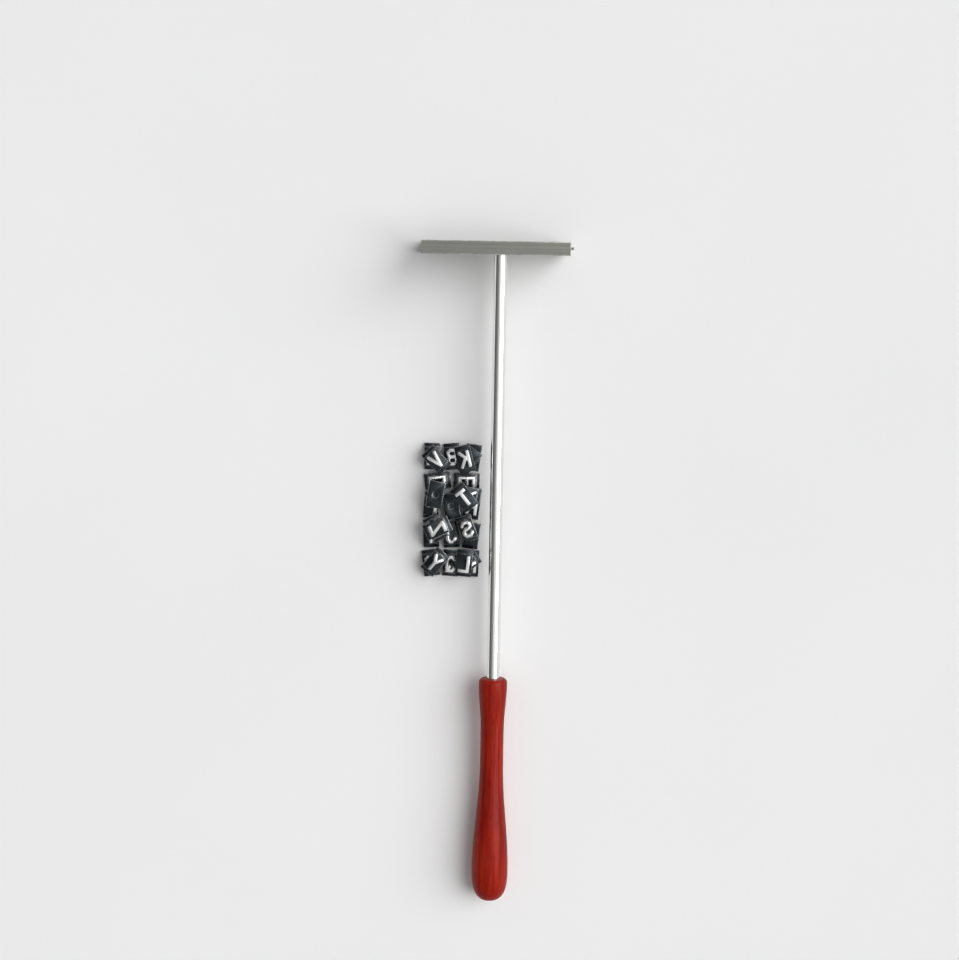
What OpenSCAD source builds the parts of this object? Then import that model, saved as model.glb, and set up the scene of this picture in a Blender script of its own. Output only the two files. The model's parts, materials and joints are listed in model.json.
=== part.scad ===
// Branding iron with changeable letters, lying on a table beside its loose letter set.
// The iron's own axis is Y: the head faces +Y, its rows of letters run along X and its width is Z.

/* [Letter tiles] */
// Width of a tile along its row
tile_w = 10; // [8:0.1:14]
// Length of a tile's foot across its row
tile_l = 16.6; // [14:0.1:22]
// Thickness of a tile's foot
foot_t = 2.2; // [1.6:0.1:4]
// Length of a tile's neck, which stands in the mouth of the channel
neck_l = 12; // [8:0.1:12.6]
// Height of a raised letter above the face of the head
letter_h = 2; // [1:0.1:4]
// Width of a raised letter
letter_w = 6.8; // [4:0.1:7.8]
// Length of a raised letter
letter_l = 10.4; // [6:0.1:11.6]
// Width of a letter's strokes
stroke_w = 1.9; // [1:0.1:2.2]
// Diameter of the round dimple in a tile's back
dimple_d = 4; // [2:0.1:6]
// Depth of the dimple
dimple_depth = 0.6; // [0.3:0.1:1]

/* [Head] */
// Number of tiles that fill a row
row_count = 7; // [6:1:10]
// Thickness of the wall that the rod is fixed to
back_t = 3; // [2.6:0.1:6]
// Thickness of the two long outer walls
wall_t = 3.6; // [3.2:0.1:6]
// Thickness of the web between the two channels
web_t = 2.4; // [1.6:0.1:5]
// Thickness of the lips that hold the tiles' feet
lip_t = 2.4; // [1.5:0.1:5]
// Thickness of the head's two closed ends
end_t = 2.6; // [2:0.1:8]
// Room beside a tile in the pocket where tiles go into a channel
entry_room = 1.4; // [1.2:0.1:3]
// Rounding of the pocket's corners
entry_round = 2; // [1:0.1:2.4]
// Room left all round a tile's foot and neck
slot_clear = 0.3; // [0.2:0.05:0.45]
// Distance of the rod from the middle of the head
rod_offset = 3; // [0:0.5:8]

/* [Rod] */
// Diameter of the rod
rod_d = 8; // [7:0.1:11]
// Length of the rod between the head and the handle
rod_len = 263; // [160:1:400]
// Length of the rod inside the handle
tang_len = 62; // [30:1:80]
// Chamfer on the rod's ends
rod_chamfer = 0.6; // [0.2:0.1:1]
// Radial room between the rod and its bore
tang_clear = 0.05; // [0.02:0.01:0.1]

/* [Handle] */
// Length of the handle
handle_len = 144; // [130:1:190]
// Diameter of the handle at the rod
front_d = 17.8; // [15:0.1:24]
// Rounding of the handle's front edge
front_round = 2.6; // [1:0.1:4]
// Diameter of the handle's waist
waist_d = 14.6; // [13:0.1:18]
// Distance of the waist from the front of the handle
waist_at = 33; // [20:1:50]
// Length of the waist's straight part
waist_len = 22; // [5:1:40]
// Diameter of the handle's swell
swell_d = 22.8; // [18:0.1:34]
// Distance of the swell from the front of the handle
swell_at = 125; // [95:1:128]
// Bluntness of the rounded end, where 2 is an ellipse
end_power = 2.7; // [2:0.1:4]
// Steps along each curve of the handle's outline
curve_steps = 14; // [8:1:24]

/* [Head screw] */
// Diameter of the screw that holds the head on the rod
screw_d = 4; // [3:0.5:5]
// Diameter of the screw's countersunk head
screw_head_d = 7.6; // [6.6:0.1:8.2]
// Length of the screw, head included
screw_len = 14; // [10:0.5:20]
// Depth of the cross recess in the screw's head
recess_depth = 1; // [0.5:0.1:1.4]
// Width of one arm of the cross recess
recess_w = 1; // [0.6:0.1:1.4]
// Radial room round the screw
screw_clear = 0.05; // [0.02:0.01:0.1]
// Radial room round the screw's head for a screwdriver to reach it
driver_clear = 0.3; // [0.2:0.1:0.5]

/* [Retaining wire] */
// Diameter of the wire
wire_d = 1.6; // [1.2:0.1:1.8]
// Radial room round the wire in its holes
hole_clear = 0.05; // [0.02:0.01:0.1]
// Room between the wire's leg and the recess that it lies in
leg_clear = 0.25; // [0.2:0.05:0.4]
// Room between the wire's arm and the head as it swings past
swing_clear = 0.3; // [0.2:0.1:1]
// Distance that the wire's pin reaches into the upper channel
pin_reach = 11; // [6:0.5:14]
// Radius of the bend between the leg and the arm, at the middle of the wire
arm_r = 4; // [3:0.5:6]
// Height of the arm's end above the middle of the head
arm_top = 16; // [6:0.5:20]

/* [Spacers in the head] */
// Number of blank tiles in each row
spacer_count = 4; // [1:1:5]
// Gap between neighbouring tiles in a row
tile_gap = 0.05; // [0.05:0.05:0.3]

/* [Loose letters] */
// Distance of the heap of letters from the back of the head
heap_at = 116; // [40:1:140]
// Clear space between the heap and the rod
heap_clear = 4; // [1:0.5:10]
// Largest turn of a tile in the bottom layer of the heap, in degrees
heap_turn = 8; // [0:1:20]
// Least gap between two tiles in the heap
heap_gap = 0.4; // [0.3:0.1:2]

/* [Hidden] */
$fn = 64;
eps = 0.01;
ALPHABET = "abcdefghijklmnopqrstuvwxyz";

// Strokes of the letters a to z, as they read, across and up from 0 to 1
LETTER_STROKES = [
    [[[0, 0], [0.5, 1], [1, 0]], [[0.25, 0.34], [0.75, 0.34]]],
    [[[0, 0], [0, 1]],
     [[0, 1], [0.72, 1], [1, 0.86], [1, 0.66], [0.72, 0.52], [0, 0.52]],
     [[0, 0.52], [0.72, 0.52], [1, 0.38], [1, 0.14], [0.72, 0], [0, 0]]],
    [[[1, 0.78], [0.72, 1], [0.28, 1], [0, 0.78], [0, 0.22], [0.28, 0], [0.72, 0], [1, 0.22]]],
    [[[0, 0], [0, 1]], [[0, 1], [0.62, 1], [1, 0.76], [1, 0.24], [0.62, 0], [0, 0]]],
    [[[1, 1], [0, 1], [0, 0], [1, 0]], [[0, 0.5], [0.75, 0.5]]],
    [[[1, 1], [0, 1], [0, 0]], [[0, 0.5], [0.75, 0.5]]],
    [[[1, 0.8], [0.72, 1], [0.28, 1], [0, 0.78], [0, 0.22],
      [0.28, 0], [0.72, 0], [1, 0.22], [1, 0.44], [0.62, 0.44]]],
    [[[0, 0], [0, 1]], [[1, 0], [1, 1]], [[0, 0.5], [1, 0.5]]],
    [[[0.5, 0], [0.5, 1]]],
    [[[1, 1], [1, 0.22], [0.72, 0], [0.28, 0], [0, 0.24]]],
    [[[0, 0], [0, 1]], [[1, 1], [0.12, 0.46]], [[0.36, 0.6], [1, 0]]],
    [[[0, 1], [0, 0], [1, 0]]],
    [[[0, 0], [0, 1], [0.5, 0.4], [1, 1], [1, 0]]],
    [[[0, 0], [0, 1], [1, 0], [1, 1]]],
    [[[0.5, 1], [0.28, 1], [0, 0.78], [0, 0.22], [0.28, 0], [0.5, 0]],
     [[0.5, 1], [0.72, 1], [1, 0.78], [1, 0.22], [0.72, 0], [0.5, 0]]],
    [[[0, 0], [0, 1]], [[0, 1], [0.72, 1], [1, 0.86], [1, 0.62], [0.72, 0.48], [0, 0.48]]],
    [[[0.5, 1], [0.28, 1], [0, 0.78], [0, 0.22], [0.28, 0], [0.5, 0]],
     [[0.5, 1], [0.72, 1], [1, 0.78], [1, 0.22], [0.72, 0], [0.5, 0]],
     [[0.58, 0.3], [1, 0]]],
    [[[0, 0], [0, 1]],
     [[0, 1], [0.72, 1], [1, 0.86], [1, 0.62], [0.72, 0.48], [0, 0.48]],
     [[0.5, 0.48], [1, 0]]],
    [[[1, 0.82], [0.75, 1], [0.25, 1], [0, 0.84], [0, 0.68], [0.25, 0.53],
      [0.75, 0.47], [1, 0.32], [1, 0.16], [0.75, 0], [0.25, 0], [0, 0.18]]],
    [[[0, 1], [1, 1]], [[0.5, 1], [0.5, 0]]],
    [[[0, 1], [0, 0.22], [0.28, 0], [0.72, 0], [1, 0.22], [1, 1]]],
    [[[0, 1], [0.5, 0], [1, 1]]],
    [[[0, 1], [0.2, 0], [0.5, 0.6], [0.8, 0], [1, 1]]],
    [[[0, 0], [1, 1]], [[0, 1], [1, 0]]],
    [[[0, 1], [0.5, 0.48], [1, 1]], [[0.5, 0.48], [0.5, 0]]],
    [[[0, 1], [1, 1], [0, 0], [1, 0]]]
];

// Channels and outer sizes of the head
slot_w = tile_l + 2 * slot_clear;
slot_h = foot_t + 2 * slot_clear;
mouth_w = neck_l + 2 * slot_clear;
head_w = 2 * wall_t + web_t + 2 * slot_w;
head_depth = back_t + slot_h + lip_t;
row_z = (web_t + slot_w) / 2;
row_len = row_count * tile_w + (row_count - 1) * tile_gap + slot_clear;
stop_len = wire_d + 2 * leg_clear;
entry_len = tile_w + entry_room;
channel_len = row_len + stop_len + entry_len;
head_len = channel_len + 2 * end_t;
head_left = -head_len / 2 - rod_offset;
head_right = head_left + head_len;
channel_left = head_left + end_t;
entry_left = channel_left + row_len + stop_len;

// A tile, from the floor of its channel to the face of the head and to the top of its letter
neck_h = lip_t + slot_clear;
blank_h = foot_t + neck_h;
tile_h = blank_h + letter_h;
foot_y = back_t + slot_clear;

// Retaining wire: its pin stops the tiles' feet in both rows, and its arm swings round the end of the head
wire_x = entry_left - stop_len / 2;
wire_y = foot_y + foot_t / 2;
recess_t = wire_d + 2 * leg_clear;
recess_left = wire_x - wire_d - leg_clear;
leg_z = head_w / 2 - recess_t / 2;
elbow_r = recess_t / 2;
arm_dist = norm([head_right - wire_x, max(wire_y, head_depth - wire_y)]) + swing_clear + wire_d / 2;
arm_x = wire_x + arm_dist;
end_cut = arm_r - wire_d / 2;

// Handle
waist_end = waist_at + waist_len;

// Rest on the table: the back edge of the head's lower wall and the swell of the handle touch it
swell_from_head = rod_len + swell_at;
rest_tilt = atan((head_w / 2 - swell_d / 2) / swell_from_head);
total_len = head_depth + rod_len + handle_len;
rest_x = -(head_left + arm_x + wire_d / 2) / 2;
rest_y = total_len / 2 - head_depth;
rest_z = head_w / 2 * cos(rest_tilt);

// Heap of loose letters: a bottom layer in short rows, turned a little, and two layers across it
HEAP_ORDER = "abcdefghijmpqrvowxnsyuktzl";
cell_s = tile_w * cos(heap_turn) + tile_l * sin(heap_turn) + heap_gap;
cell_l = tile_l * cos(heap_turn) + tile_w * sin(heap_turn) + heap_gap;
UPRIGHT_ROWS = [true, false, true, true, true];
ROW_STARTS = [0, 3, 5, 8, 11, 14];
row_total = len(UPRIGHT_ROWS);
bottom_count = ROW_STARTS[row_total];

function row_depth(row) = UPRIGHT_ROWS[row] ? cell_l : cell_s;
function row_top(row) = row == 0 ? 0 : row_top(row - 1) + row_depth(row - 1);
function row_of(i, row = 0) = i < ROW_STARTS[row + 1] ? row : row_of(i, row + 1);

// The middle layer in two columns, and the tiles of it that carry the top layer
MIDDLE_TURNS = [45, -35, -10, 80, 30, 20, -40, -55];
MIDDLE_FACE_DOWN = [1, 2];
TOP_ON = [1, 3, 4, 7];
TOP_TURNS = [15, 39, -65, -5];
TOP_SHIFTS = [[-0.2, 0.15], [-0.2, -0.1], [0.15, 0.1], [-0.15, 0.05]];
middle_count = len(MIDDLE_TURNS);
middle_pitch_x = norm([tile_w, tile_l]) + heap_gap;
heap_l = row_top(row_total - 1) + row_depth(row_total - 1);
middle_pitch_y = heap_l / (middle_count / 2);
heap_w = max(3 * cell_s, 2 * cell_l, 2 * middle_pitch_x);
heap_x = rest_x - rod_d / 2 - heap_clear - heap_w / 2;
heap_y = rest_y - heap_at;

// Place of a loose letter: x and y from the heap's top middle, layer, turn, and whether it lies face down
function bottom_place(i) =
    let (row = row_of(i))
    let (upright = UPRIGHT_ROWS[row])
    let (in_row = ROW_STARTS[row + 1] - ROW_STARTS[row])
    let (pitch = upright ? cell_s : cell_l)
    let (x = (i - ROW_STARTS[row] - (in_row - 1) / 2) * pitch)
    let (y = -row_top(row) - row_depth(row) / 2)
    [x, y, 0, (upright ? 0 : 90) + heap_turn * sin(137 * i), i % 4 == 2];
function middle_place(j) =
    let (x = (j % 2 - 0.5) * middle_pitch_x)
    let (y = -(floor(j / 2) + 0.5) * middle_pitch_y)
    [x, y, 1, MIDDLE_TURNS[j], len(search(j, MIDDLE_FACE_DOWN)) > 0];
function top_place(k) =
    let (under = middle_place(TOP_ON[k]))
    [under[0] + TOP_SHIFTS[k][0] * tile_w, under[1] + TOP_SHIFTS[k][1] * tile_w, 2, TOP_TURNS[k], false];
function heap_place(i) =
    i < bottom_count ? bottom_place(i)
    : i < bottom_count + middle_count ? middle_place(i - bottom_count)
    : top_place(i - bottom_count - middle_count);

function letter_name(i) = str("letter_", ALPHABET[i]);
function spacer_name(row, i) = str(row > 0 ? "upper" : "lower", "_spacer_", i + 1);

// Lays the iron on the table, from its own axis
module laid_down() {
    translate([rest_x, rest_y, rest_z])
        rotate([rest_tilt, 0, 0])
            children();
}

// Turns a shape made along Z so that it runs along the rod, away from the head
module along_rod() {
    rotate([90, 0, 0])
        children();
}

// Turns a flat shape, drawn along the rows and across them, to rise towards the head's face
module faced() {
    rotate([-90, 0, 0])
        children();
}

// Outline of the head from its face: recessed at the lower right for the wire's leg, with a cut corner
module head_outline() {
    side = head_w / 2;
    polygon([
        [head_left, -side],
        [head_right, -side],
        [head_right, side - recess_t - end_cut],
        [head_right - end_cut, side - recess_t],
        [recess_left, side - recess_t],
        [recess_left, side],
        [head_left, side]
    ]);
}

// One channel: an undercut, a narrower mouth, and a full-width pocket at the end where tiles go in
module channel() {
    translate([channel_left, back_t, -slot_w / 2])
        cube([channel_len - entry_round, slot_h, slot_w]);
    translate([channel_left, back_t, -mouth_w / 2])
        cube([channel_len - entry_round, slot_h + lip_t + eps, mouth_w]);
    translate([entry_left, back_t, 0])
        faced()
            entry_pocket();
}

// The pocket at the end of a channel, with two rounded corners
module entry_pocket() {
    depth = slot_h + lip_t + eps;
    translate([0, -slot_w / 2, 0])
        cube([entry_len - entry_round, slot_w, depth]);
    translate([0, entry_round - slot_w / 2, 0])
        cube([entry_len, slot_w - 2 * entry_round, depth]);
    for (side = [1, -1])
        translate([entry_len - entry_round, side * (slot_w / 2 - entry_round), 0])
            cylinder(r = entry_round, h = depth);
}

module head() {
    color("silver")
        laid_down()
            difference() {
                faced()
                    linear_extrude(head_depth)
                        head_outline();
                for (side = [1, -1])
                    translate([0, 0, side * row_z])
                        channel();
                translate([wire_x, wire_y, -head_w / 2])
                    cylinder(d = wire_d + 2 * hole_clear, h = (head_w + web_t) / 2 + eps);
                screw_seat();
            }
}

// Hole, countersink and driver's way for the screw, through the back wall and the web
module screw_seat() {
    translate([0, back_t, 0])
        along_rod()
            screw_shape(screw_clear, back_t + eps);
    translate([0, back_t - eps, 0])
        mirror([0, 1, 0])
            along_rod()
                cylinder(d = screw_head_d + 2 * driver_clear, h = slot_h + lip_t + 2 * eps);
}

// Countersunk screw with its head's flat top at the origin
module screw_shape(clear, length) {
    cone_h = (screw_head_d - screw_d) / 2;
    cylinder(d1 = screw_head_d + 2 * clear, d2 = screw_d + 2 * clear, h = cone_h);
    cylinder(d = screw_d + 2 * clear, h = length);
}

module head_screw() {
    color("dimgray")
        laid_down()
            translate([0, back_t, 0])
                along_rod()
                    difference() {
                        screw_shape(0, screw_len);
                        for (turn = [0, 90])
                            rotate(turn)
                                translate([-screw_head_d / 4, -recess_w / 2, -eps])
                                    cube([screw_head_d / 2, recess_w, recess_depth + eps]);
                    }
}

module rod() {
    whole_len = rod_len + tang_len;
    bore_len = screw_len - back_t + rod_chamfer;
    color("gainsboro")
        laid_down()
            along_rod()
                difference() {
                    rotate_extrude()
                        polygon([
                            [0, 0],
                            [rod_d / 2, 0],
                            [rod_d / 2, whole_len - rod_chamfer],
                            [rod_d / 2 - rod_chamfer, whole_len],
                            [0, whole_len]
                        ]);
                    translate([0, 0, -eps])
                        cylinder(d = screw_d + 2 * screw_clear, h = bore_len + eps);
                }
}

// Half a cosine wave from one radius to another, as t goes from 0 to 1
function eased(from, to, t) = from + (to - from) * (1 - cos(180 * t)) / 2;

// Outline of the turned handle: rounded front edge, waist, swell and blunt rounded end
function handle_outline() = concat(
    [[0, 0]],
    [for (k = [0:curve_steps])
        let (a = 90 * k / curve_steps)
        [front_d / 2 - front_round * (1 - sin(a)), front_round * (1 - cos(a))]],
    [for (k = [1:curve_steps])
        let (t = k / curve_steps)
        [eased(front_d, waist_d, t) / 2, front_round + (waist_at - front_round) * t]],
    [for (k = [0:curve_steps])
        let (t = k / curve_steps)
        [eased(waist_d, swell_d, t) / 2, waist_end + (swell_at - waist_end) * t]],
    [for (k = [1:curve_steps])
        let (a = 90 * k / curve_steps)
        let (r = swell_d / 2 * pow(max(cos(a), 0), 2 / end_power))
        [k == curve_steps ? 0 : r, swell_at + (handle_len - swell_at) * pow(sin(a), 2 / end_power)]]
);

module handle() {
    color("sienna")
        laid_down()
            translate([0, -rod_len, 0])
                along_rod()
                    difference() {
                        rotate_extrude()
                            polygon(handle_outline());
                        translate([0, 0, -eps])
                            cylinder(d = rod_d + 2 * tang_clear, h = tang_len + tang_clear + eps);
                    }
}

// A quarter of a bent wire, from +X round to +Z, about the origin
module wire_bend(radius) {
    rotate([90, 0, 0])
        rotate_extrude(angle = 90)
            translate([radius, 0])
                circle(d = wire_d);
}

// A pin across both channels, an elbow, a leg along the lower wall, a bend and an arm up the head's end
module retaining_wire() {
    pin_low = elbow_r - leg_z;
    arm_low = arm_r - leg_z;
    color("lightgray")
        laid_down()
            translate([wire_x, wire_y, 0]) {
                translate([0, 0, pin_low])
                    cylinder(d = wire_d, h = web_t / 2 + pin_reach - pin_low);
                translate([elbow_r, 0, pin_low])
                    mirror([0, 0, 1])
                        mirror([1, 0, 0])
                            wire_bend(elbow_r);
                translate([elbow_r, 0, -leg_z])
                    rotate([0, 90, 0])
                        cylinder(d = wire_d, h = arm_dist - arm_r - elbow_r);
                translate([arm_dist - arm_r, 0, arm_low])
                    mirror([0, 0, 1])
                        wire_bend(arm_r);
                translate([arm_dist, 0, arm_low])
                    cylinder(d = wire_d, h = arm_top - arm_low);
            }
}

// A blank tile on its back: a foot with a dimple, and a neck that ends flush with the head's face
module blank_tile() {
    difference() {
        translate([-tile_w / 2, -tile_l / 2, 0])
            cube([tile_w, tile_l, foot_t]);
        translate([0, 0, -eps])
            cylinder(d = dimple_d, h = dimple_depth + eps);
    }
    translate([-tile_w / 2, -neck_l / 2, foot_t - eps])
        cube([tile_w, neck_l, neck_h + eps]);
}

function unit(v) = v / norm(v);
function across(v) = [-v[1], v[0]];

// One edge of a stroke: its points moved sideways, mitred at the bends and lengthened at both ends
function stroke_edge(points, shift) =
    let (last = len(points) - 1)
    [for (k = [0:last])
        let (before = unit(points[max(k, 1)] - points[max(k, 1) - 1]))
        let (after = unit(points[min(k, last - 1) + 1] - points[min(k, last - 1)]))
        let (cap = k == 0 ? -after : k == last ? before : [0, 0])
        points[k] + cap * abs(shift) + shift * (across(before) + across(after)) / (1 + before * after)];

// Outline of a stroke, from its points between 0 and 1 within the letter's width and length
function stroke_outline(stroke) =
    let (points = [for (at = stroke)
        [(at[0] - 0.5) * (letter_w - stroke_w), (at[1] - 0.5) * (letter_l - stroke_w)]])
    let (left = stroke_edge(points, stroke_w / 2))
    let (right = stroke_edge(points, -stroke_w / 2))
    concat(left, [for (k = [len(right) - 1:-1:0]) right[k]]);

// A raised letter, reversed so that its brand reads right, with its points cut off at the letter's height
module raised_letter(i) {
    mirror([1, 0, 0])
        intersection() {
            translate([-letter_w / 2, -letter_l / 2, 0])
                cube([letter_w, letter_l, letter_h + eps]);
            union()
                for (stroke = LETTER_STROKES[i])
                    linear_extrude(letter_h + eps)
                        polygon(stroke_outline(stroke));
        }
}

// A letter tile: a blank tile with its raised letter
module letter_tile(i) {
    blank_tile();
    translate([0, 0, blank_h - eps])
        raised_letter(i);
}

module spacer(row, i) {
    spacer_x = channel_left + slot_clear + tile_w / 2 + i * (tile_w + tile_gap);
    color("slategray")
        laid_down()
            translate([spacer_x, foot_y, row * row_z])
                faced()
                    blank_tile();
}

module letter(i) {
    place = heap_place(search(ALPHABET[i], HEAP_ORDER)[0]);
    face_down = place[4];
    color("darkslategray")
        translate([heap_x + place[0], heap_y + place[1], place[2] * tile_h])
            rotate(place[3])
                translate([0, 0, face_down ? tile_h : 0])
                    rotate([face_down ? 180 : 0, 0, 0])
                        letter_tile(i);
}

head();
rod();
handle();
head_screw();
retaining_wire();
for (row = [1, -1], i = [0:spacer_count - 1])
    spacer(row, i);
for (i = [0:len(ALPHABET) - 1])
    letter(i);
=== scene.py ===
import json
import math

import bmesh
import bpy
from mathutils import Matrix, Vector


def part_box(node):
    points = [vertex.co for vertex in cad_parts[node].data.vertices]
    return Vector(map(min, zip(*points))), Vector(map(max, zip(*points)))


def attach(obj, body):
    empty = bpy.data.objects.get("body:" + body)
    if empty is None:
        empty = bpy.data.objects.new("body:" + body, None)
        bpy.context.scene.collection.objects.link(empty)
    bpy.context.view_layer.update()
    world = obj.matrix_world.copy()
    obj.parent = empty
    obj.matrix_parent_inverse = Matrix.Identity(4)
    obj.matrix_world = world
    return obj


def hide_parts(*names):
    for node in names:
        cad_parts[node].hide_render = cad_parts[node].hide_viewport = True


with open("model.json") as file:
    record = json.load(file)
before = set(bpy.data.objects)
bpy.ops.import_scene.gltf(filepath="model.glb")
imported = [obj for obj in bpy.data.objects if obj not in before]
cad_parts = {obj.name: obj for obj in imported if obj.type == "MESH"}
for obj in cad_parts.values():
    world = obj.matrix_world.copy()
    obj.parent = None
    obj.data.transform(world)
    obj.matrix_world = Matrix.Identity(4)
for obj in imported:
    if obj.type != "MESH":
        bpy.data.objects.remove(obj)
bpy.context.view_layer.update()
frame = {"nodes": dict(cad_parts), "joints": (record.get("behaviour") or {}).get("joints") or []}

# Head: a flat cast aluminium bar with two undercut channels for letter tiles and a pocket at the end of each.
# Its faces are satin from linishing along the bar, its edges are broken and a little polished by handling,
# and these edges are painted paler, partly as that wear and partly as a painted highlight.
# The shape is the solid's own, with rounded edges.
MM = 0.001
HEAD_DEPTH = 8.2 * MM
HEAD_ROUND = 0.45 * MM
HEAD_ROUND_STEPS = 3
SEAT_ROOM = 7 * MM
SLIVER = 0.004 * MM
FLAT_AREA = 4 * MM ** 2
FLAT_ANGLE = math.radians(1)
SHARP_ANGLE = math.radians(28)
SMOOTH_ANGLE = math.radians(40)


def solid_copy(node):
    """A copy of a solid with its flat faces made whole."""
    bm = bmesh.new()
    bm.from_mesh(frame["nodes"][node].data)
    bmesh.ops.remove_doubles(bm, verts=bm.verts, dist=SLIVER)
    bmesh.ops.dissolve_limit(bm, angle_limit=FLAT_ANGLE, verts=bm.verts, edges=bm.edges)
    return bm


def sharp_edges(bm):
    return [e for e in bm.edges if len(e.link_faces) == 2 and e.calc_face_angle() > SHARP_ANGLE]


def break_edges(bm, edges, width, segments=2, wear_and_sheen=1.0, clamp=True):
    """Rounds edges, marks them for a paler colour that is partly wear and partly a painted highlight, and
    clears the empty faces that rounding can leave.
    """
    edge_mark_layer = bm.faces.layers.float.new("edge_wear_highlight_mark")
    rounded = bmesh.ops.bevel(bm, geom=edges, offset=width, offset_type="OFFSET", affect="EDGES",
                              segments=segments, profile=0.5, material=-1, clamp_overlap=clamp)
    for face in rounded["faces"]:
        face[edge_mark_layer] = wear_and_sheen
    bmesh.ops.remove_doubles(bm, verts=bm.verts, dist=SLIVER)
    bmesh.ops.dissolve_degenerate(bm, edges=bm.edges, dist=SLIVER)


def finished(bm, name, flat_area=math.inf):
    """Turns a bmesh into an object at the origin, smooth except at sharp edges and on large flat faces."""
    edge_mark_layer = bm.faces.layers.float.get("edge_wear_highlight_mark")
    smooth = [face.calc_area() < flat_area or (edge_mark_layer is not None and face[edge_mark_layer] > 0) for face in bm.faces]
    mesh = bpy.data.meshes.new(name)
    bm.to_mesh(mesh)
    bm.free()
    mesh.set_sharp_from_angle(angle=SMOOTH_ANGLE)
    mesh.polygons.foreach_set("use_smooth", smooth)
    piece = bpy.data.objects.new(name, mesh)
    bpy.context.scene.collection.objects.link(piece)
    return piece


class Finish:
    """A material on the piece's own coordinates, and short ways to add nodes to it."""

    def __init__(self, name, colour, metallic, roughness):
        self.material = bpy.data.materials.new(name)
        self.material.use_nodes = True
        self.nodes, self.links = self.material.node_tree.nodes, self.material.node_tree.links
        self.shader = self.nodes["Principled BSDF"].inputs
        self.shader["Base Color"].default_value = (*colour, 1)
        self.shader["Metallic"].default_value = metallic
        self.shader["Roughness"].default_value = roughness

    def put(self, value, socket):
        """Links another node's output to a socket, or sets the socket to a fixed value."""
        if isinstance(value, bpy.types.NodeSocket):
            self.links.new(value, socket)
        else:
            socket.default_value = value

    def add(self, kind, inputs=(), **settings):
        node = self.nodes.new(kind)
        for key, value in settings.items():
            setattr(node, key, value)
        for key, value in dict(inputs).items():
            self.put(value, node.inputs[key])
        return node

    def grain(self, scale, detail, stretch=(1, 1, 1), turn=(0, 0, 0)):
        """Noise on the piece's own coordinates, drawn out along an axis where stretch is small."""
        place = self.add("ShaderNodeMapping", {"Vector": self.add("ShaderNodeTexCoord").outputs["Object"],
                                               "Scale": stretch, "Rotation": turn})
        return self.add("ShaderNodeTexNoise", {"Vector": place.outputs["Vector"], "Scale": scale,
                                               "Detail": detail, "Roughness": 0.6}).outputs["Fac"]

    def spread(self, value, low, high, start=0.3, end=0.7):
        """A noise value brought between two levels."""
        return self.add("ShaderNodeMapRange", {"Value": value, "From Min": start, "From Max": end,
                                               "To Min": low, "To Max": high}).outputs["Result"]

    def blend(self, factor, first, second):
        """A colour between two others, each a fixed colour or another node's."""
        mix = self.add("ShaderNodeMix", {"Factor": factor}, data_type="RGBA")
        for colour, socket in ((first, mix.inputs[6]), (second, mix.inputs[7])):
            self.put((*colour, 1) if isinstance(colour, tuple) else colour, socket)
        return mix.outputs[2]

    def combine(self, operation, first, second):
        return self.add("ShaderNodeMath", {0: first, 1: second}, operation=operation).outputs["Value"]

    def edge_wear_and_highlight(self):
        """How far a rounded edge is painted paler, partly as rubbed wear and partly as a painted highlight:
        in patches, along the marked edges.
        """
        edge = self.add("ShaderNodeAttribute", attribute_name="edge_wear_highlight_mark").outputs["Fac"]
        patches = self.spread(self.grain(scale=420, detail=2), 0.25, 1.0, start=0.35, end=0.6)
        return self.combine("MULTIPLY", edge, patches)

    def into(self, key, value):
        """Links another node's output to one of the shader's sockets."""
        self.links.new(value, self.shader[key])

    def bump(self, height, strength, distance):
        bumps = self.add("ShaderNodeBump", {"Height": height, "Strength": strength, "Distance": distance})
        self.into("Normal", bumps.outputs["Normal"])


HEAD_GREY = (0.235, 0.239, 0.217)
HEAD_DARK = (0.168, 0.171, 0.155)
HEAD_PALE = (0.295, 0.299, 0.273)
HEAD_WEAR_AND_HIGHLIGHT = (0.6, 0.6, 0.57)
satin = Finish("satin_aluminium", HEAD_GREY, metallic=1.0, roughness=0.4)
streaks = satin.grain(scale=5000, detail=3, stretch=(0.002, 1, 1))
cast_skin = satin.grain(scale=1500, detail=3)
clouds = satin.grain(scale=60, detail=2)
bands = satin.grain(scale=1500, detail=3, stretch=(0.003, 1, 1))
tone = satin.blend(satin.spread(streaks, 0, 1), HEAD_DARK, HEAD_GREY)
tone = satin.blend(satin.spread(bands, 0, 0.6, start=0.4, end=0.66), tone, HEAD_PALE)
tone = satin.blend(satin.spread(clouds, 0, 0.4), tone, HEAD_DARK)
# The rounded edges are painted paler: partly rubbed wear, partly a painted highlight.
satin.into("Base Color", satin.blend(satin.edge_wear_and_highlight(), tone, HEAD_WEAR_AND_HIGHLIGHT))
satin.into("Roughness", satin.spread(streaks, 0.44, 0.62))
satin.bump(satin.combine("ADD", streaks, cast_skin), strength=0.18, distance=0.05 * MM)

# The iron's own place: its axis is Y, from the head's back at the origin to the handle at minus Y.
ROD_RADIUS = 4 * MM
swing = next(joint for joint in frame["joints"] if joint["name"] == "wire_swing")
tilt = math.atan2(-swing["axis"][1], swing["axis"][2])
rod_low, rod_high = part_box("rod")
rod_end = Vector(((rod_low.x + rod_high.x) / 2, rod_high.y - ROD_RADIUS * math.sin(tilt),
                  rod_high.z - ROD_RADIUS * math.cos(tilt)))
iron_place = Matrix.Translation(rod_end) @ Matrix.Rotation(tilt, 4, "X")


def on_the_outside(vert):
    """Whether a corner lies on the head's face or back, away from the screw's seat."""
    on_face_or_back = vert.co.y < SLIVER or vert.co.y > HEAD_DEPTH - SLIVER
    return on_face_or_back and abs(vert.co.x) > SEAT_ROOM - SLIVER


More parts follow.
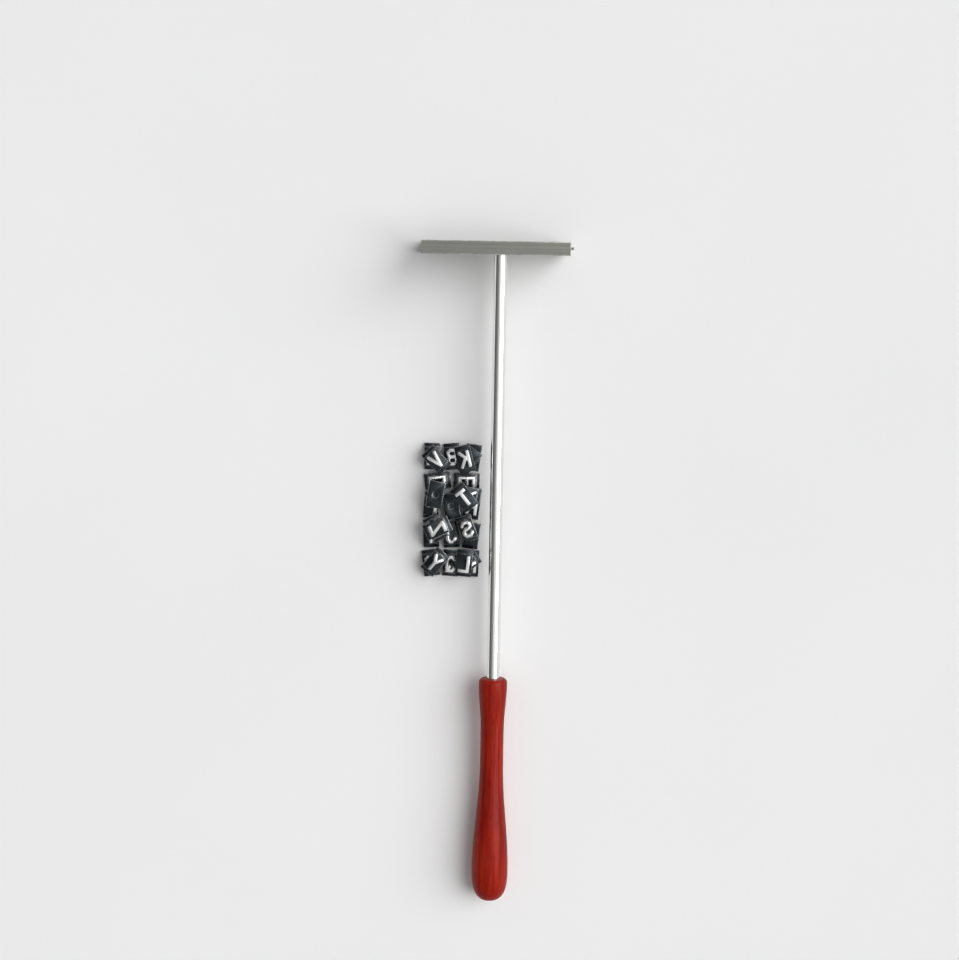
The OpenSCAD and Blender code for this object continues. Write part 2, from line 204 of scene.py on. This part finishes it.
bm = solid_copy("head")
bmesh.ops.transform(bm, matrix=iron_place.inverted(), verts=bm.verts)
for cut in (SEAT_ROOM, -SEAT_ROOM):
    bmesh.ops.bisect_plane(bm, geom=bm.verts[:] + bm.edges[:] + bm.faces[:], dist=SLIVER,
                           plane_co=(cut, 0, 0), plane_no=(1, 0, 0))
outer_edges = [e for e in sharp_edges(bm) if e.is_convex and all(on_the_outside(v) for v in e.verts)]
break_edges(bm, outer_edges, HEAD_ROUND, segments=HEAD_ROUND_STEPS, clamp=False)
bmesh.ops.transform(bm, matrix=iron_place, verts=bm.verts)
head = finished(bm, "head_casting", FLAT_AREA)
head.data.materials.append(satin.material)
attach(head, "iron")
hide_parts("head")

# Head screw: a countersunk machine screw with a cross recess, zinc plated.
# It goes in from the face of the head, between the channels, and pulls the rod against the head's back.
SCREW_ROUND = 0.12 * MM
ZINC = (0.52, 0.53, 0.52)
ZINC_DULL = (0.45, 0.46, 0.465)
ZINC_BRIGHT = (0.7, 0.7, 0.68)
zinc = Finish("zinc_plate", ZINC, metallic=1.0, roughness=0.34)
spangle = zinc.grain(scale=1600, detail=2)
tone = zinc.blend(zinc.spread(spangle, 0, 1), ZINC_DULL, ZINC)
zinc.into("Base Color", zinc.blend(zinc.edge_wear_and_highlight(), tone, ZINC_BRIGHT))
zinc.into("Roughness", zinc.spread(spangle, 0.26, 0.36))
zinc.bump(spangle, strength=0.06, distance=0.03 * MM)

bm = solid_copy("head_screw")
break_edges(bm, sharp_edges(bm), SCREW_ROUND)
head_screw = finished(bm, "countersunk_screw")
head_screw.data.materials.append(zinc.material)
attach(head_screw, "iron")
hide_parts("head_screw")

# Rod: a straight 8 mm steel rod, drawn bright and plated, with a chamfered tail.
# Its flat end is drilled for the screw and stands against the head's back.
# Its tail is pressed into the handle.
ROD_CHAMFER = 0.6 * MM
ROD_LENGTH = (rod_high.y - rod_low.y - 2 * ROD_RADIUS * math.sin(tilt)) / math.cos(tilt)
FIRST_RING = 2 * MM
SCREW_HOLE_RADIUS = 2.05 * MM
SCREW_HOLE_DEPTH = 11.6 * MM
TURNED_SIDES = 96


def turned(outline, name):
    """A piece turned on a lathe, from an outline of pairs: distance along the rod from the head, radius."""
    bm = bmesh.new()
    points = [bm.verts.new((radius, -along, 0)) for along, radius in outline]
    edges = [bm.edges.new(pair) for pair in zip(points, points[1:])]
    bmesh.ops.spin(bm, geom=points + edges, cent=(0, 0, 0), axis=(0, 1, 0), angle=math.tau,
                   steps=TURNED_SIDES, use_merge=True, use_duplicate=False)
    bmesh.ops.remove_doubles(bm, verts=bm.verts, dist=SLIVER)
    bmesh.ops.recalc_face_normals(bm, faces=bm.faces)
    bmesh.ops.transform(bm, matrix=iron_place, verts=bm.verts)
    return finished(bm, name)


ROD_STEEL = (0.88, 0.88, 0.86)
ROD_SHADE = (0.74, 0.74, 0.73)
bright = Finish("bright_steel", ROD_STEEL, metallic=1.0, roughness=0.14)
drawn_lines = bright.grain(scale=2200, detail=3, stretch=(1, 0.008, 1))
handling = bright.grain(scale=70, detail=3)
bright.into("Base Color", bright.blend(bright.spread(drawn_lines, 0, 0.6), ROD_STEEL, ROD_SHADE))
dullness = bright.combine("ADD", bright.spread(drawn_lines, 0.1, 0.17), bright.spread(handling, 0, 0.07))
bright.into("Roughness", dullness)
bright.bump(drawn_lines, strength=0.06, distance=0.02 * MM)

rod = turned([(SCREW_HOLE_DEPTH, 0), (SCREW_HOLE_DEPTH, SCREW_HOLE_RADIUS), (0, SCREW_HOLE_RADIUS),
              (0, ROD_RADIUS), (FIRST_RING, ROD_RADIUS), (ROD_LENGTH / 2, ROD_RADIUS),
              (ROD_LENGTH - ROD_CHAMFER, ROD_RADIUS), (ROD_LENGTH, ROD_RADIUS - ROD_CHAMFER),
              (ROD_LENGTH, 0)], "steel_rod")
rod.data.materials.append(bright.material)
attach(rod, "iron")
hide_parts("rod")

# Handle: one piece of hardwood turned to a waist and a swell, with a rounded front edge and a blunt end.
# It is stained red-brown and lacquered, so the grain shows through a glossy coat.
# The rod's tail is pressed into its bore.
FRONT_AT = 263 * MM
HANDLE_LENGTH = 144 * MM
FRONT_RADIUS = 8.9 * MM
FRONT_ROUND = 2.6 * MM
FRONT_STEPS = 8
WAIST_RADIUS = 7.3 * MM
WAIST_AT = 33 * MM
WAIST_STEPS = 24
WAIST_END = 55 * MM
SWELL_RADIUS = 11.4 * MM
SWELL_AT = 125 * MM
SWELL_STEPS = 40
END_POWER = 2.7
END_STEPS = 32
BORE_RADIUS = ROD_RADIUS + 0.05 * MM
BORE_LENGTH = 62.05 * MM


def eased(first, last, t):
    return first + (last - first) * (1 - math.cos(math.pi * t)) / 2


outline = [(BORE_LENGTH, 0), (BORE_LENGTH, BORE_RADIUS), (0, BORE_RADIUS)]
for k in range(FRONT_STEPS + 1):
    a = math.pi / 2 * k / FRONT_STEPS
    outline.append((FRONT_ROUND * (1 - math.cos(a)), FRONT_RADIUS - FRONT_ROUND * (1 - math.sin(a))))
for k in range(1, WAIST_STEPS + 1):
    t = k / WAIST_STEPS
    outline.append((FRONT_ROUND + (WAIST_AT - FRONT_ROUND) * t, eased(FRONT_RADIUS, WAIST_RADIUS, t)))
for k in range(SWELL_STEPS + 1):
    t = k / SWELL_STEPS
    outline.append((WAIST_END + (SWELL_AT - WAIST_END) * t, eased(WAIST_RADIUS, SWELL_RADIUS, t)))
for k in range(1, END_STEPS):
    a = math.pi / 2 * k / END_STEPS
    outline.append((SWELL_AT + (HANDLE_LENGTH - SWELL_AT) * math.sin(a) ** (2 / END_POWER),
                    SWELL_RADIUS * math.cos(a) ** (2 / END_POWER)))
outline.append((HANDLE_LENGTH, 0))

WOOD_MID = (0.25, 0.0065, 0.002)
WOOD_LIGHT = (0.4, 0.021, 0.007)
WOOD_DARK = (0.085, 0.003, 0.0015)
ALONG_HANDLE = (tilt, 0, 0)
wood = Finish("lacquered_wood", WOOD_MID, metallic=0.0, roughness=0.42)
growth = wood.grain(scale=300, detail=5, stretch=(1, 0.05, 1), turn=ALONG_HANDLE)
pores = wood.grain(scale=2600, detail=2, stretch=(1, 0.035, 1), turn=ALONG_HANDLE)
figure = wood.grain(scale=55, detail=3, stretch=(1, 0.3, 1))
tone = wood.blend(wood.spread(growth, 0, 1, start=0.36, end=0.64), WOOD_MID, WOOD_LIGHT)
tone = wood.blend(wood.spread(figure, 0, 0.55, start=0.45, end=0.75), tone, WOOD_DARK)
tone = wood.blend(wood.spread(pores, 0, 0.85, start=0.57, end=0.7), tone, WOOD_DARK)
wood.into("Base Color", tone)
wood.into("Roughness", wood.spread(growth, 0.36, 0.5))
wood.bump(wood.combine("SUBTRACT", growth, pores), strength=0.12, distance=0.06 * MM)
wood.shader["Specular IOR Level"].default_value = 0.07
wood.shader["Coat Weight"].default_value = 0.12
wood.shader["Coat Roughness"].default_value = 0.1

handle = turned([(FRONT_AT + along, radius) for along, radius in outline], "turned_handle")
handle.data.materials.append(wood.material)
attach(handle, "iron")
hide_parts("handle")

# Spacers: blank cast tiles with a foot under the channel's lips and a neck flush with the head's face.
# They are a dark gunmetal casting, and their edges are painted paler, partly as rubbing where they slide and
# partly as a painted highlight.
SPACER_ROUND = 0.18 * MM
SPACER_WEAR_AND_SHEEN = 0.4
GUNMETAL = (0.044, 0.052, 0.057)
GUNMETAL_DARK = (0.016, 0.019, 0.022)
GUNMETAL_WEAR_AND_HIGHLIGHT = (0.46, 0.48, 0.49)
gunmetal = Finish("gunmetal", GUNMETAL, metallic=1.0, roughness=0.36)
skin = gunmetal.grain(scale=900, detail=4)
bloom = gunmetal.grain(scale=110, detail=4)
tone = gunmetal.blend(gunmetal.spread(bloom, 0, 1), GUNMETAL_DARK, GUNMETAL)
# The rounded edges are painted paler: partly rubbed wear, partly a painted highlight.
gunmetal.into("Base Color", gunmetal.blend(gunmetal.edge_wear_and_highlight(), tone, GUNMETAL_WEAR_AND_HIGHLIGHT))
gunmetal.into("Roughness", gunmetal.spread(skin, 0.2, 0.4))
gunmetal.bump(skin, strength=0.3, distance=0.05 * MM)

for row in ("upper", "lower"):
    for name in sorted(node for node in frame["nodes"] if node.startswith(row + "_spacer_")):
        bm = solid_copy(name)
        break_edges(bm, sharp_edges(bm), SPACER_ROUND, wear_and_sheen=SPACER_WEAR_AND_SHEEN)
        spacer = finished(bm, name.replace("spacer", "blank_tile"))
        spacer.data.materials.append(gunmetal.material)
        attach(spacer, row + "_row")
        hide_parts(name)

# Retaining wire: bright spring wire, bent cold, with rounded ends.
# Its pin passes through the lower wall and the web and stops both rows.
# Its arm stands at the end of the head.
WIRE_RADIUS = 0.8 * MM
WIRE_SIDES = 20
PIN_TOP = 12.2 * MM
ELBOW = 1.05 * MM
ELBOW_STEPS = 8
LEG_AT = -20.95 * MM
ARM_BEND = 4 * MM
ARM_STEPS = 14
ARM_TOP = 16 * MM
TIP_WIDTH = 0.25
ROUNDED_END = ((0.12, 0.5), (0.18, 0.75), (0.2, 0.92), (0.25, 1.0))
pivot = iron_place.inverted() @ Vector(swing["pos_m"])
arm_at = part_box("retaining_wire")[1].x - WIRE_RADIUS - swing["pos_m"][0]

SPRING_STEEL = (0.62, 0.62, 0.61)
SPRING_DULL = (0.54, 0.54, 0.535)
spring = Finish("spring_wire", SPRING_STEEL, metallic=1.0, roughness=0.26)
die_marks = spring.grain(scale=1300, detail=3)
spring.into("Base Color", spring.blend(spring.spread(die_marks, 0, 1), SPRING_DULL, SPRING_STEEL))
spring.into("Roughness", spring.spread(die_marks, 0.2, 0.3))
spring.bump(die_marks, strength=0.04, distance=0.02 * MM)

bm = bmesh.new()
bmesh.ops.create_circle(bm, cap_ends=True, radius=WIRE_RADIUS * TIP_WIDTH, segments=WIRE_SIDES,
                        matrix=Matrix.Translation((0, 0, PIN_TOP)))
front = bm.edges[:]


def draw_out(move, width=1.0):
    """Lengthens the wire from its open end by a straight piece, up to a given share of its full width."""
    grown = bmesh.ops.extrude_edge_only(bm, edges=front)["geom"]
    ends = [g for g in grown if isinstance(g, bmesh.types.BMVert)]
    centre = sum((v.co for v in ends), Vector()) / len(ends)
    swell = width * WIRE_RADIUS / (ends[0].co - centre).length
    bmesh.ops.scale(bm, verts=ends, vec=(swell,) * 3, space=Matrix.Translation(-centre))
    bmesh.ops.translate(bm, verts=ends, vec=move)
    front[:] = [g for g in grown if isinstance(g, bmesh.types.BMEdge) and set(g.verts) <= set(ends)]


def bend(centre, steps):
    """Bends the wire a quarter turn about an axis along the rod."""
    ends = list({v for e in front for v in e.verts})
    last = bmesh.ops.spin(bm, geom=ends + front, cent=centre, axis=(0, 1, 0), angle=-math.pi / 2,
                          steps=steps, use_merge=False, use_duplicate=False)["geom_last"]
    front[:] = [g for g in last if isinstance(g, bmesh.types.BMEdge)]


rises = [rise for rise, width in ROUNDED_END]
widths = [TIP_WIDTH] + [width for rise, width in ROUNDED_END]
rounding = sum(rises) * WIRE_RADIUS
for rise, width in ROUNDED_END:
    draw_out((0, 0, -rise * WIRE_RADIUS), width)
draw_out((0, 0, LEG_AT + ELBOW - PIN_TOP + rounding))
bend((ELBOW, 0, LEG_AT + ELBOW), ELBOW_STEPS)
draw_out((arm_at - ARM_BEND - ELBOW, 0, 0))
bend((arm_at - ARM_BEND, 0, LEG_AT + ARM_BEND), ARM_STEPS)
draw_out((0, 0, ARM_TOP - rounding - LEG_AT - ARM_BEND))
for rise, width in zip(reversed(rises), reversed(widths[:-1])):
    draw_out((0, 0, rise * WIRE_RADIUS), width)
bmesh.ops.contextual_create(bm, geom=front)
bmesh.ops.remove_doubles(bm, verts=bm.verts, dist=SLIVER)
bmesh.ops.recalc_face_normals(bm, faces=bm.faces)
bmesh.ops.transform(bm, matrix=iron_place @ Matrix.Translation(pivot), verts=bm.verts)
wire = finished(bm, "bent_wire")
wire.data.materials.append(spring.material)
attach(wire, "retaining_wire")
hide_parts("retaining_wire")

# Letter tiles: cast like the spacers, each with one reversed capital raised on its neck.
# The letters' faces and sides are polished bright, and the set lies loose in a heap beside the rod.
LETTER_ROUND = 0.28 * MM
BLANK_HEIGHT = 4.9 * MM
FILLET_HEIGHT = 0.25 * MM
SKIN_DEPTH = 0.1 * MM
LEVEL = 0.99
POLISHED = (0.8, 0.8, 0.79)
POLISHED_DULL = (0.62, 0.63, 0.635)
polish = Finish("polished_letter", POLISHED, metallic=1.0, roughness=0.22)
polish_marks = polish.grain(scale=700, detail=2, stretch=(1, 0.08, 1), turn=(0, 0, 0.6))
polish.into("Base Color", polish.blend(polish.spread(polish_marks, 0, 1), POLISHED_DULL, POLISHED))
polish.into("Roughness", polish.spread(polish_marks, 0.16, 0.32))
polish.bump(polish_marks, strength=0.03, distance=0.02 * MM)

for name in sorted(node for node in frame["nodes"] if node.startswith("letter_")):
    bm = solid_copy(name)
    break_edges(bm, sharp_edges(bm), LETTER_ROUND)
    tile = finished(bm, name.replace("letter_", "letter_tile_"))
    tile.data.materials.append(gunmetal.material)
    tile.data.materials.append(polish.material)
    # A tile lies on its foot or upside down, and its foot is the end with the larger flat face.
    low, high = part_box(name)
    level_faces = [f for f in tile.data.polygons if abs(f.normal.z) > LEVEL]
    area_below = sum(f.area for f in level_faces if f.center.z < low.z + SKIN_DEPTH)
    area_above = sum(f.area for f in level_faces if f.center.z > high.z - SKIN_DEPTH)
    for face in tile.data.polygons:
        height = face.center.z - low.z if area_below > area_above else high.z - face.center.z
        if height > BLANK_HEIGHT + FILLET_HEIGHT:
            face.material_index = 1
    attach(tile, "letter_set")
    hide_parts(name)

# Table: a wide pale surface under the iron, which rises gently far away, as a studio's sweep does.
# It is matt and plain, with a trace of mottling, and takes the soft shadows.
FLAT_RADIUS = 6
SWEEP_RADIUS = 66
SWEEP_RISE = 8
SWEEP_POINTS = 12
SWEEP_SIDES = 64
TABLE_PALE = (0.93, 0.93, 0.93)
TABLE_MID = (0.92, 0.92, 0.92)
TABLE_DULL = (0.91, 0.91, 0.91)
bm = bmesh.new()
sweep = [bm.verts.new((0, 0, 0))]
for k in range(SWEEP_POINTS + 1):
    t = k / SWEEP_POINTS
    sweep.append(bm.verts.new((FLAT_RADIUS + (SWEEP_RADIUS - FLAT_RADIUS) * t, 0, SWEEP_RISE * t ** 2)))
edges = [bm.edges.new(pair) for pair in zip(sweep, sweep[1:])]
bmesh.ops.spin(bm, geom=sweep + edges, cent=(0, 0, 0), axis=(0, 0, 1), angle=math.tau, steps=SWEEP_SIDES,
               use_merge=True, use_duplicate=False)
bmesh.ops.remove_doubles(bm, verts=bm.verts, dist=MM)
bmesh.ops.recalc_face_normals(bm, faces=bm.faces)
if bm.faces[0].normal.z < 0:
    bmesh.ops.reverse_faces(bm, faces=bm.faces)
table = finished(bm, "table")
matt = Finish("pale_table", TABLE_MID, metallic=0.0, roughness=0.7)
mottling = matt.spread(matt.grain(scale=3, detail=2), 0, 1)
matt.into("Base Color", matt.blend(mottling, TABLE_DULL, TABLE_PALE))
matt.shader["Specular IOR Level"].default_value = 0.15
table.data.materials.append(matt.material)

# Light: a pale room, a long soft lamp over the table, and a broad, soft light from the right.
# The light from the right draws the bright line along the rod.
# The room's left is darker, but only as metal mirrors it, and that shades the rod's left.
WHITE = (1, 1, 1, 1)
ROOM_FILL = 0.2
ROOM_IN_VIEW = 0.8
DARK_SIDE, DARK_LEVEL = -0.95, 0.08
PALE_SIDE, PALE_LEVEL = 0.1, 0.5
world = bpy.data.worlds.new("pale_room")
bpy.context.scene.world = world
world.use_nodes = True
nodes, links = world.node_tree.nodes, world.node_tree.links
fill = nodes["Background"]
in_view, mirrored = (nodes.new("ShaderNodeBackground") for room in range(2))
for room in (fill, in_view, mirrored):
    room.inputs["Color"].default_value = WHITE
fill.inputs["Strength"].default_value = ROOM_FILL
in_view.inputs["Strength"].default_value = ROOM_IN_VIEW
side = nodes.new("ShaderNodeSeparateXYZ")
links.new(nodes.new("ShaderNodeTexCoord").outputs["Generated"], side.inputs["Vector"])
left_to_right = nodes.new("ShaderNodeMapRange")
for key, value in (("From Min", DARK_SIDE), ("From Max", PALE_SIDE),
                   ("To Min", DARK_LEVEL), ("To Max", PALE_LEVEL)):
    left_to_right.inputs[key].default_value = value
links.new(side.outputs["X"], left_to_right.inputs["Value"])
links.new(left_to_right.outputs["Result"], mirrored.inputs["Strength"])
path = nodes.new("ShaderNodeLightPath")
in_metal = nodes.new("ShaderNodeMath")
links.new(path.outputs["Is Glossy Ray"], in_metal.inputs[0])
links.new(path.outputs["Is Transmission Ray"], in_metal.inputs[1])
shown = fill
for factor, room in ((in_metal.outputs["Value"], mirrored), (path.outputs["Is Camera Ray"], in_view)):
    mix = nodes.new("ShaderNodeMixShader")
    links.new(factor, mix.inputs["Fac"])
    links.new(shown.outputs[0], mix.inputs[1])
    links.new(room.outputs[0], mix.inputs[2])
    shown = mix
links.new(shown.outputs[0], nodes["World Output"].inputs["Surface"])

LAMP_WIDTH, LAMP_LENGTH = 1.0, 2.6
LAMP_POWER = 3
LAMP_PLACE = (0.05, 0, 1.7)
lamp = bpy.data.lights.new("over_lamp", "AREA")
lamp.shape = "RECTANGLE"
lamp.size, lamp.size_y = LAMP_WIDTH, LAMP_LENGTH
lamp.energy = LAMP_POWER
over_lamp = bpy.data.objects.new("over_lamp", lamp)
over_lamp.location = LAMP_PLACE
bpy.context.scene.collection.objects.link(over_lamp)

SUN_WIDTH = math.radians(60)
SUN_STRENGTH = 2.8
SUN_WAY = Vector((-0.8, -0.2, -0.8))
sun = bpy.data.lights.new("right_sun", "SUN")
sun.angle = SUN_WIDTH
sun.energy = SUN_STRENGTH
right_sun = bpy.data.objects.new("right_sun", sun)
right_sun.rotation_euler = SUN_WAY.to_track_quat("-Z", "Y").to_euler()
bpy.context.scene.collection.objects.link(right_sun)

# Camera: looks down on the table from above the rod, a little from the head's side.
# The head is seen edge-on, and the rod runs almost straight down the picture.
CAMERA_DISTANCE = 1.1
PIXELS = 960
FOCAL_PIXELS = 1753
SENSOR_WIDTH = 36
FAR_CLIP = 200
PITCH = math.radians(5.8)
ROLL = math.radians(0.97)
AIM_X, AIM_Y = -10.6 * MM, -139.8 * MM
aim = rod_end + Vector((AIM_X, AIM_Y, -rod_end.z))
camera = bpy.data.cameras.new("camera")
camera.sensor_width = SENSOR_WIDTH
camera.lens = FOCAL_PIXELS * SENSOR_WIDTH / PIXELS
camera.clip_end = FAR_CLIP
viewer = bpy.data.objects.new("camera", camera)
stand = aim + CAMERA_DISTANCE * Vector((0, math.sin(PITCH), math.cos(PITCH)))
viewer.matrix_world = (Matrix.Translation(stand) @ Matrix.Rotation(-PITCH, 4, "X")
                       @ Matrix.Rotation(ROLL, 4, "Z"))
bpy.context.scene.collection.objects.link(viewer)
bpy.context.scene.camera = viewer
bpy.context.scene.view_settings.view_transform = "Standard"
